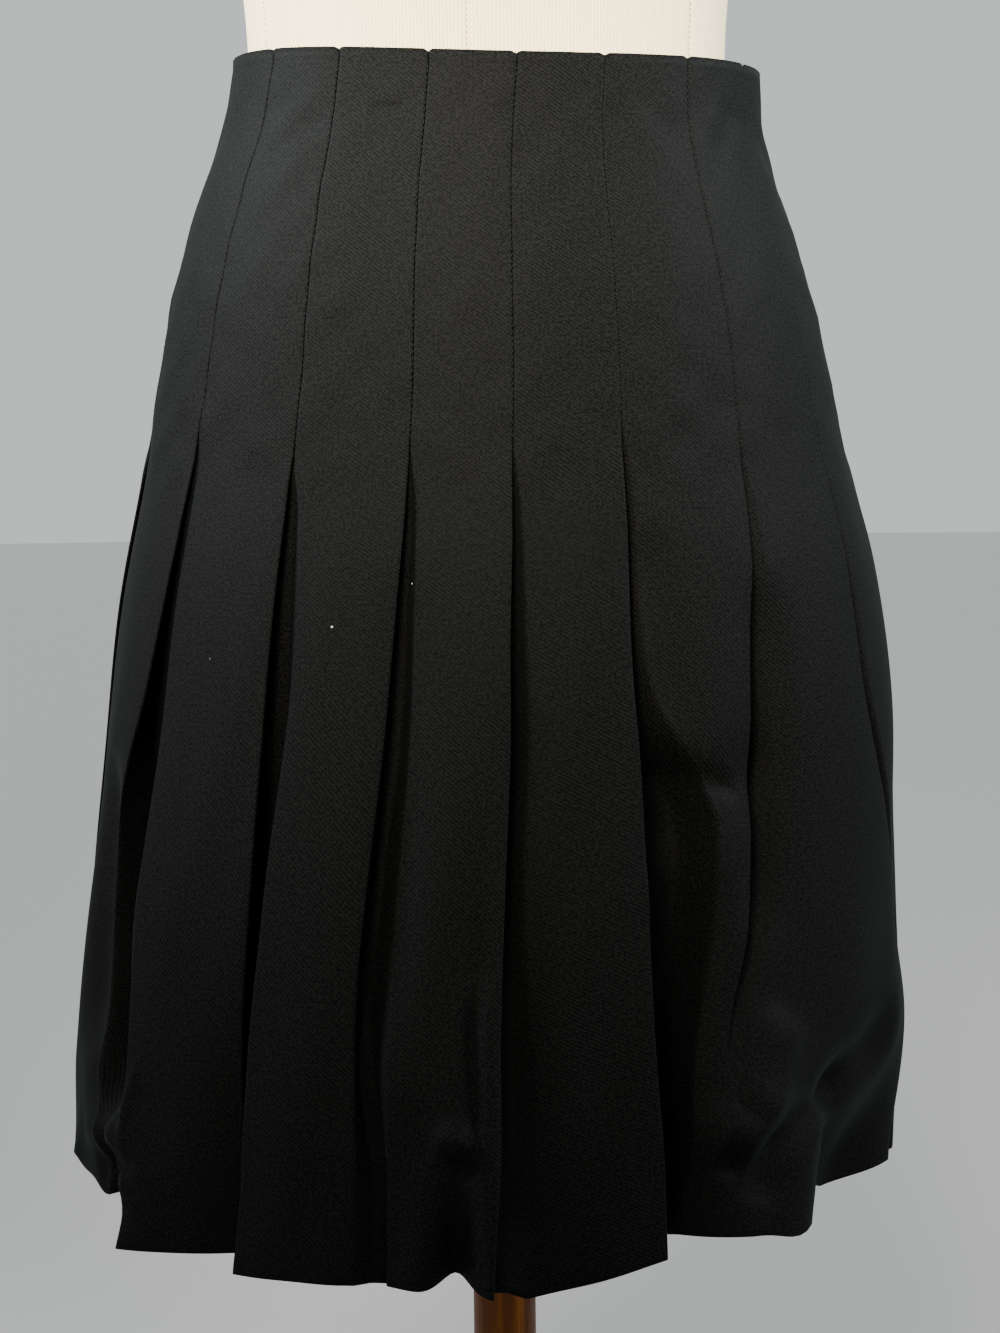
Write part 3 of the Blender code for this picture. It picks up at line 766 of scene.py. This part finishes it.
def fold_at(index, drop):
    """Where one fold lies at each drop: its edge, its inner fold and the start of the next panel."""
    turn, row = divmod(index, PLEATS)
    around = around_at(drop)
    lap_hem, edge_out, next_out = FOLD_HEM[row][:3]
    free = ease((drop - FOLD_HEM[row][STITCH_END]) / RELEASE_LENGTH)
    low = np.clip((drop - MELT_DROP) / (HEM_DROP - MELT_DROP), 0, None)
    ply = PLY + HEM_PLY * ease((drop - HEM_PLY_FROM) / HEM_PLY_LENGTH)
    lap = np.interp(drop, LAP_DROPS, (STITCHED_LAP, HIP_LAP, HIP_LAP))
    gone, spread = MELTED.get(row, (HEM_DROP, 1.0))
    lap = lap + (lap_hem - lap) * np.clip((drop - MELT_DROP) / (gone - MELT_DROP), 0, 1)
    edge = (FIRST_SEAM + row / PLEATS + turn) * around + smooth(drop, SWING_DROPS, FOLD_SWING[row])
    mouth = SEAM_GROOVE * (1 - free) + smooth(drop, OPENING_DROPS, FOLD_MOUTH[row]) * free
    depth = smooth(drop, OPENING_DROPS, FOLD_DEPTH[row]) * free
    for fold, level, half_height, wider, deeper in PULLS:
        if fold == row:
            strength = np.exp(-(((drop - level) / half_height) ** 2))
            mouth = mouth + wider * strength
            depth = depth + deeper * strength
    softness = np.clip((SOFT_LAP - lap) / SOFT_RANGE, 0, 1)
    if row in MELTED:
        softness = np.maximum(softness, ease((drop - gone + MELT_LENGTH) / MELT_LENGTH))
    step = 2 * ply * (1 - softness)
    rounding = 1 - softness * (spread < 1)
    depth = depth * rounding
    edge_out = edge_out * low**2
    below = edge_out - step - depth
    climb = 2 * ply * PLEATS / around * free
    next_step = step - climb * mouth * rounding
    return {
        "free": free,
        "ply": ply,
        "edge": edge,
        "edge_out": edge_out - SEAM_SINK * (1 - free),
        "below": below,
        "inner": edge - lap,
        "inner_out": below - climb * np.clip(lap, 0, None),
        "start": edge + mouth,
        "start_out": next_out * low**2 - next_step * free - SEAM_SINK * (1 - free),
        "softness": softness,
        "spread": softness * spread,
        "rounding": rounding,
    }


def between(first, second, part):
    """A control point part of the way from one to another."""
    return tuple(a + (b - a) * part for a, b in zip(first, second))


def pleat_controls(before, after, share):
    """The cloth of one pleat from inner fold to inner fold, as control points with their sample counts.

    Each point is a drop, an arc and a distance out, for all the rows at once."""
    fold_before = FOLD_HEM[before % PLEATS]
    under_drop = fold_before[EDGE_DROP] * share
    start_drop = fold_before[NEXT_DROP] * share
    edge_drop = FOLD_HEM[after % PLEATS][EDGE_DROP] * share
    under = fold_at(before, under_drop)
    first = fold_at(before, start_drop)
    last = fold_at(after, edge_drop)
    inner_arc = under["inner"] + SOFT_INNER * under["spread"]
    mouth = first["start"] - under["edge"]
    sharper = ease((under_drop - KNEE_DROP) / KNEE_LENGTH)
    knee_share = HIGH_KNEE + (fold_before[KNEE_SHARE] - HIGH_KNEE) * sharper
    free_knee = np.maximum(under["edge"] + knee_share * mouth, (inner_arc + first["start"]) / 2)
    knee_arc = free_knee * under["free"] + (first["start"] - KNEE_GAP) * (1 - under["free"])
    rise = (first["start_out"] - under["below"]) * (KNEE_RISE + SOFT_KNEE_RISE * under["softness"])
    inner = (under_drop, inner_arc, under["inner_out"])
    knee = (under_drop, knee_arc, under["below"] + rise * under["free"])
    bed = (under_drop, (inner_arc + knee_arc) / 2, (under["inner_out"] + under["below"]) / 2)
    # under the panel before, from the inner fold to the knee
    controls = [
        (inner, 3),
        (between(inner, bed, 0.25), 1),
        (bed, 2),
        (between(knee, bed, 0.20), 2),
        (knee, 3),
    ]
    # across the panel
    width = last["edge"] - first["start"]
    crown = CROWN * width * np.clip(edge_drop - RELEASE_DROP, 0, None) / HEM_DROP
    crown = crown * first["rounding"] * last["rounding"]
    for step in range(PANEL_STEPS):
        even = step / (PANEL_STEPS - 1)
        part = EVEN_COLUMNS * even + (1 - EVEN_COLUMNS) * (1 - math.cos(math.pi * even)) / 2
        bend = part + part * (1 - part) * (1 - last["rounding"])
        out = first["start_out"] + (last["edge_out"] - first["start_out"]) * bend
        drop = start_drop + (edge_drop - start_drop) * part
        point = (drop, first["start"] + width * part, out + crown * part * (1 - part))
        controls.append((point, 2 if step == PANEL_STEPS - 1 else 1))
    # round its edge, and back under it to the next inner fold
    soft = last["spread"]
    ply = last["ply"] * (1 - last["softness"])
    back = (edge_drop, last["edge"] + SOFT_EDGE * soft, last["edge_out"] - ply)
    end = (edge_drop, last["inner"] - SOFT_INNER * soft, last["inner_out"] + ply)
    controls += [
        (back, 2),
        (between(back, end, 0.12), 1),
        (between(back, end, 0.5), 1),
        (between(back, end, 0.88), 1),
        (end, 3),
    ]
    return controls


def spline_weights(counts):
    """Turns control points into samples of a smooth line that rounds each corner."""
    size = len(counts)
    weights = np.zeros((sum(counts), size))
    sample = 0
    for control, count in enumerate(counts):
        for part in (np.arange(count) + 0.5) / count:
            weights[sample, max(control - 1, 0)] += (1 - part) ** 2 / 2
            weights[sample, control] += 0.5 + part * (1 - part)
            weights[sample, min(control + 1, size - 1)] += part**2 / 2
            sample += 1
    return weights


def row_shares():
    """The mesh's rows, as shares of the way down to the hem."""
    drops = [np.linspace(start, end, count, endpoint=False) for start, end, count in ROW_DROPS]
    return np.concatenate(drops + [[HEM_DROP]]) / HEM_DROP


def unit(vectors):
    return vectors / np.linalg.norm(vectors, axis=-1, keepdims=True)


def cloth_points(first_pleat):
    """Places of one half's cloth by column and row, from the waist to the end of the turned hem,
    and where each lies on the flat cut."""
    share = row_shares()
    controls = []
    for pleat in range(first_pleat, first_pleat + HALF):
        controls += pleat_controls(pleat, pleat + 1, share)
    weights = spline_weights([count for _, count in controls])
    line = np.tensordot(weights, np.array([point for point, _ in controls]), 1)
    drop, arc, out = line[:, 0], line[:, 1], line[:, 2]
    places = place_on_skirt(drop, arc, out)
    steps = np.hypot(np.diff(arc, axis=0), np.diff(out, axis=0))
    across = np.concatenate([np.zeros((1, len(share))), np.cumsum(steps, axis=0)])
    across -= across[len(across) // 2]
    side = unit(np.gradient(places, axis=0))
    down = unit(np.gradient(places, axis=1))
    outward = unit(np.cross(down, side))
    roll = []
    for angle in math.pi * np.array(ROLL_PARTS):
        sweep = math.sin(angle) * down[:, -1] - (1 - math.cos(angle)) * outward[:, -1]
        roll.append(places[:, -1] + HEM_ROLL * MM * sweep)
    turned = [row for row in range(len(share) - 1, -1, -1) if (1 - share[row]) * HEM_DROP <= HEM_TURN]
    inside = [places[:, row] - 2 * HEM_ROLL * MM * outward[:, row] for row in turned]
    rolled = HEM_DROP + HEM_ROLL * math.pi * np.array(ROLL_PARTS)
    turned_up = HEM_DROP + ROLL_CLOTH + (1 - share[turned]) * HEM_DROP
    along = np.concatenate([HEM_DROP * share, rolled, turned_up])
    rows = [len(share) - 1] * len(rolled) + turned
    places = np.concatenate([places, np.stack(roll + inside, axis=1)], axis=1)
    across = np.concatenate([across, across[:, rows]], axis=1)
    return places, across, along


def mesh_from(bm, name):
    """A smooth-shaded mesh from a finished bmesh."""
    mesh = bpy.data.meshes.new(name)
    bm.to_mesh(mesh)
    bm.free()
    mesh.shade_smooth()
    return mesh


def add_piece(name, mesh, material):
    """A new piece on the part's one body, with its material."""
    mesh.materials.append(material)
    piece = bpy.data.objects.new(name, mesh)
    bpy.context.scene.collection.objects.link(piece)
    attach(piece, "root")
    return piece


def grid_piece(name, places, across, along, material):
    """A sheet through the given places, with its flat cut as its UV map. Places run from the top down."""
    columns, rows = places.shape[:2]
    bm = bmesh.new()
    flat = bm.loops.layers.uv.new("cut")
    bmesh.ops.create_grid(bm, x_segments=columns - 1, y_segments=rows - 1, size=1.0)
    step = {}
    for vert in bm.verts:
        right = round((vert.co.x + 1) / 2 * (columns - 1))
        down = round((1 - vert.co.y) / 2 * (rows - 1))
        step[vert.index] = (right, down)
        vert.co = places[right, down]
    for face in bm.faces:
        for loop in face.loops:
            right, down = step[loop.vert.index]
            loop[flat].uv = (across[right, down] * MM, -along[down] * MM)
    return add_piece(name, mesh_from(bm, name), material)


def make_skirt_half(name, node, first_pleat, material):
    """One half of the skirt: a sheet of crepe in place of its solid."""
    places, across, along = cloth_points(first_pleat)
    piece = grid_piece(name, places, across, along, material)
    wall = piece.modifiers.new("Cloth", "SOLIDIFY")
    wall.thickness = CLOTH * MM
    wall.offset = 0.0
    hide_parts(node)
    return piece


# ---------------------------------------------------------------- sewing
def add_grains(bm, places, length, radius):
    """Little spindles of thread, each at a place and along a direction."""
    for place, direction in places:
        turn = direction.to_track_quat("Z", "Y").to_matrix().to_4x4()
        shape = Matrix.Diagonal((radius * MM, radius * MM, length / 2 * MM, 1.0))
        matrix = Matrix.Translation(place) @ turn @ shape
        bmesh.ops.create_icosphere(bm, subdivisions=1, radius=1.0, matrix=matrix)


def make_pleat_stitches(name, first_pleat, material):
    """The stitches that hold each pleat, seen in its seam from the waist to the hip."""
    places = []
    for fold in range(first_pleat, first_pleat + HALF):
        drops = np.arange(STITCH_START, FOLD_HEM[fold % PLEATS][STITCH_END], STITCH_PITCH)
        seam = fold_at(fold, drops)
        arc = seam["edge"] + STITCH_ASIDE
        out = seam["edge_out"] + STITCH_PROUD
        points = place_on_skirt(drops, arc, out)
        ends = place_on_skirt(drops + 1.0, arc, out)
        places += [(Vector(a), Vector(b - a)) for a, b in zip(points, ends)]
    bm = bmesh.new()
    add_grains(bm, places, STITCH_LENGTH, STITCH_RADIUS)
    return add_piece(name, mesh_from(bm, name), material)


# ---------------------------------------------------------------- the form's cover
def form_profile():
    """The form's sections at even steps along its side."""
    sections = np.array(FORM_SECTIONS)
    run = np.concatenate([[0.0], np.cumsum(np.hypot(np.diff(sections[:, 0]), np.diff(sections[:, 1])))])
    steps = np.linspace(0.0, run[-1], FORM_RINGS + 1)
    return steps, [smooth(steps, run, sections[:, index]) for index in range(4)]


def cover_angles():
    """Angles of the cover's columns, closer together beside each seam."""
    angles = []
    for seam in range(FORM_SEAMS):
        for step in range(SEAM_COLUMNS):
            even = step / SEAM_COLUMNS
            part = even - SEAM_CROWDING * math.sin(math.tau * even) / math.tau
            angles.append((seam + part) * math.tau / FORM_SEAMS)
    return np.array(angles)


def cover_place(ring, angle, sink, profile):
    """A point of the form on a ring, sunk a little where a seam runs."""
    height, wide, deep, forward = (values[ring] for values in profile)
    x = FORM_SHIFT + (wide - sink) * math.sin(angle)
    y = -forward - (deep - sink) * math.cos(angle)
    return Vector((x, y, WAIST_HEIGHT + height)) * MM


def make_cover(material):
    """The linen cover: a ball's rings moved onto the form, with a groove along each seam."""
    steps, profile = form_profile()
    angles = cover_angles()
    bm = bmesh.new()
    flat = bm.loops.layers.uv.new("cut")
    bmesh.ops.create_uvsphere(bm, u_segments=len(angles), v_segments=FORM_RINGS, radius=1.0)
    where = {}
    for vert in bm.verts:
        ring = round(math.acos(max(-1.0, min(1.0, vert.co.z))) / math.pi * FORM_RINGS)
        spoke = round(math.atan2(vert.co.x, -vert.co.y) % math.tau / math.tau * len(angles)) % len(angles)
        girth = min(profile[1][ring], profile[2][ring])
        gap = abs(round_gap(angles[spoke] / math.tau * FORM_SEAMS, 0.0)) * math.tau / FORM_SEAMS * girth
        sink = COVER_SEAM_DEPTH * math.exp(-((gap / COVER_SEAM_WIDTH) ** 2)) if girth > 0 else 0.0
        where[vert.index] = (ring, spoke)
        vert.co = cover_place(ring, angles[spoke] + FORM_TURN, min(sink, girth), profile)
    for face in bm.faces:
        spokes = [where[loop.vert.index][1] for loop in face.loops]
        wraps = max(spokes) - min(spokes) > len(angles) / 2
        for loop in face.loops:
            ring, spoke = where[loop.vert.index]
            angle = angles[spoke] + (math.tau if wraps and spoke == 0 else 0.0)
            loop[flat].uv = (angle * FORM_RADIUS * MM, -steps[ring] * MM)
    cover = add_piece("linen_cover", mesh_from(bm, "linen_cover"), material)
    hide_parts("form_torso")


def make_cover_stitches(material):
    """The dotted line of stitches down each seam of the cover."""
    steps, profile = form_profile()
    places = []
    run = np.arange(COVER_STITCHES_FROM, steps[-1] - COVER_STITCHES_TO, COVER_STITCH_PITCH)
    for seam in range(FORM_SEAMS):
        angle = seam * math.tau / FORM_SEAMS + FORM_TURN
        rings = np.interp(run, steps, np.arange(len(steps)))
        spine = [cover_place(ring, angle, COVER_SEAM_DEPTH, profile) for ring in range(len(steps))]
        for ring in rings:
            low = int(ring)
            step = spine[low + 1] - spine[low]
            places.append((spine[low] + step * (ring - low), step))
    bm = bmesh.new()
    add_grains(bm, places, COVER_STITCH_LENGTH, STITCH_RADIUS)
    add_piece("cover_stitches", mesh_from(bm, "cover_stitches"), material)


# ---------------------------------------------------------------- stage
def make_camera():
    """A camera in front of the skirt, with its frame rolled a little."""
    data = bpy.data.cameras.new("camera")
    data.lens = CAMERA_LENS
    data.sensor_width = SENSOR
    camera = bpy.data.objects.new("camera", data)
    bpy.context.scene.collection.objects.link(camera)
    turn = Matrix.Rotation(math.pi / 2 - CAMERA_PITCH, 4, "X") @ Matrix.Rotation(-CAMERA_ROLL, 4, "Z")
    camera.matrix_world = Matrix.Translation(CAMERA_PLACE) @ turn
    bpy.context.scene.camera = camera


def make_light(name, place, target, size, power, colour, spread):
    """A round soft light that looks from its place to its target."""
    data = bpy.data.lights.new(name, "AREA")
    data.shape = "DISK"
    data.size = size
    data.spread = math.radians(spread)
    data.energy = power
    data.color = colour
    light = bpy.data.objects.new(name, data)
    bpy.context.scene.collection.objects.link(light)
    light.location = place
    light.rotation_euler = (Vector(target) - Vector(place)).to_track_quat("-Z", "Y").to_euler()


def make_stage():
    """A pale floor, a pale surround and soft studio lights."""
    bm = bmesh.new()
    bmesh.ops.create_circle(bm, cap_ends=True, segments=96, radius=FLOOR_RADIUS)
    bmesh.ops.translate(bm, verts=bm.verts, vec=(0.0, 0.0, -FLOOR_GAP))
    floor_finish = Finish("pale floor", Roughness=0.9)
    floor_finish.set("Base Color", FLOOR_COLOUR)
    mesh = mesh_from(bm, "floor")
    mesh.materials.append(floor_finish.material)
    floor = bpy.data.objects.new("floor", mesh)
    bpy.context.scene.collection.objects.link(floor)
    world = bpy.data.worlds.new("surround")
    bpy.context.scene.world = world
    world.use_nodes = True
    surround = world.node_tree.nodes["Background"]
    surround.inputs["Color"].default_value = SURROUND_COLOUR
    surround.inputs["Strength"].default_value = SURROUND_STRENGTH
    for light in LIGHTS:
        make_light(*light)


# ---------------------------------------------------------------- assembly
make_camera()
make_stage()

crepe = crepe_finish()
black_thread = thread_finish("black thread with painted glint", *BLACK_THREAD_WITH_GLINT)
brown_thread = thread_finish("brown thread", *BROWN_THREAD)

front = make_skirt_half("front_cloth", "skirt_front", 0, crepe)
back = make_skirt_half("back_cloth", "skirt_back", HALF, crepe)
front_stitches = make_pleat_stitches("front_stitches", 0, black_thread)
back_stitches = make_pleat_stitches("back_stitches", HALF, black_thread)
make_cover(linen_finish())
make_cover_stitches(brown_thread)

for node, material in (
    ("stand_post", wood_finish("post wood", True)),
    ("stand_base", wood_finish("base wood", False)),
    ("zip_tape", tape_finish()),
):
    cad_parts[node].data.materials.clear()
    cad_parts[node].data.materials.append(material)
